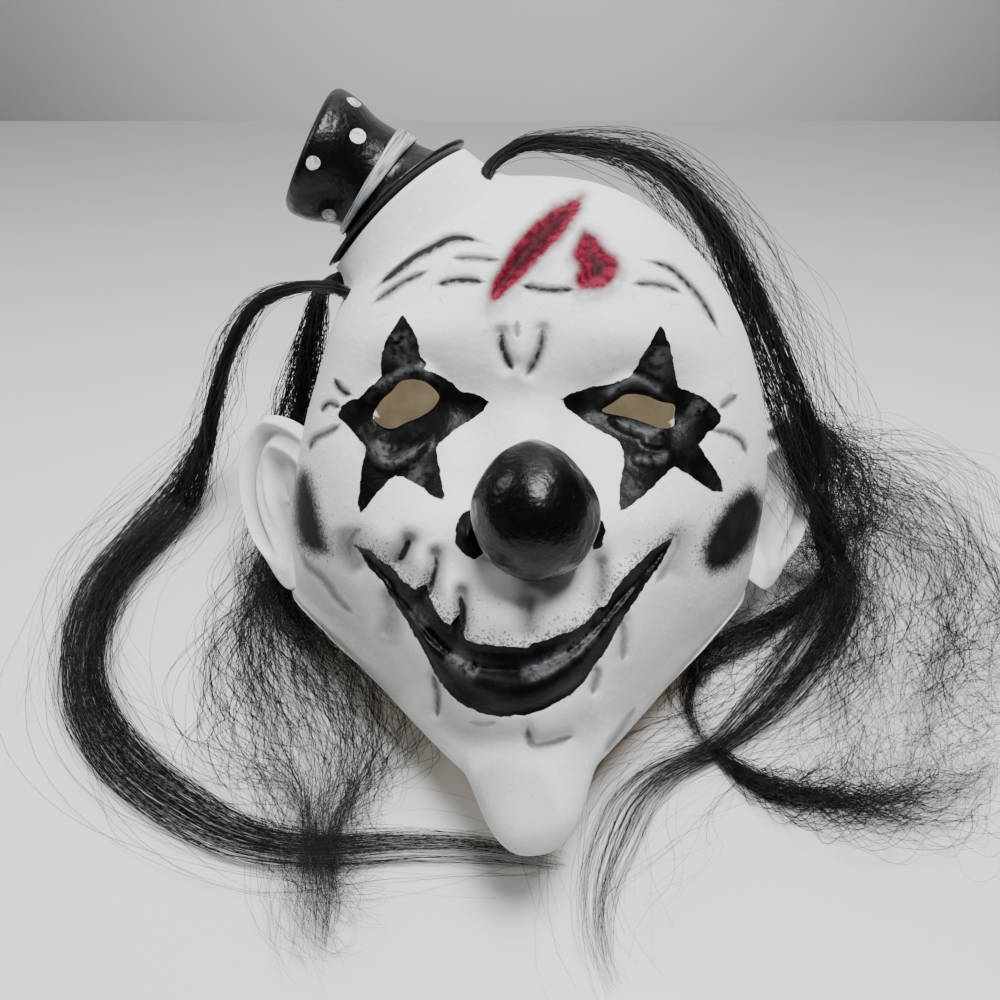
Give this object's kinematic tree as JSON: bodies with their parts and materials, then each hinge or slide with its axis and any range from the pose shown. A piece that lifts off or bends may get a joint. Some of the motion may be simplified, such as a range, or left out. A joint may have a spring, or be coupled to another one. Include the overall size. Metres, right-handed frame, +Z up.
{
  "type": "clown mask",
  "caption": "Full-head latex clown mask with black star eyes, a black nose and lips, a small leaning polka-dot top hat and long tufts of black hair, lying on its back.",
  "frame": {"origin": "middle of the flat that the back of the head rests on", "axes": "+Z up from the surface it lies on, -Y towards the chin, +Y towards the back of the crown, +X to the wearer's left"},
  "size_m": [0.3792, 0.2796, 0.1959],
  "materials": {
    "white_latex": "matt paint",
    "hat_latex": "satin paint",
    "band_paint": "streaky metallic paint",
    "hair": "satin"
  },
  "bodies": {
    "root": {"mask_shell": "white_latex", "hat_crown": "hat_latex", "hat_band": "band_paint", "hat_brim": "hat_latex", "hair_tuft_left": "hair", "hair_tuft_right": "hair"}
  },
  "joints": []
}
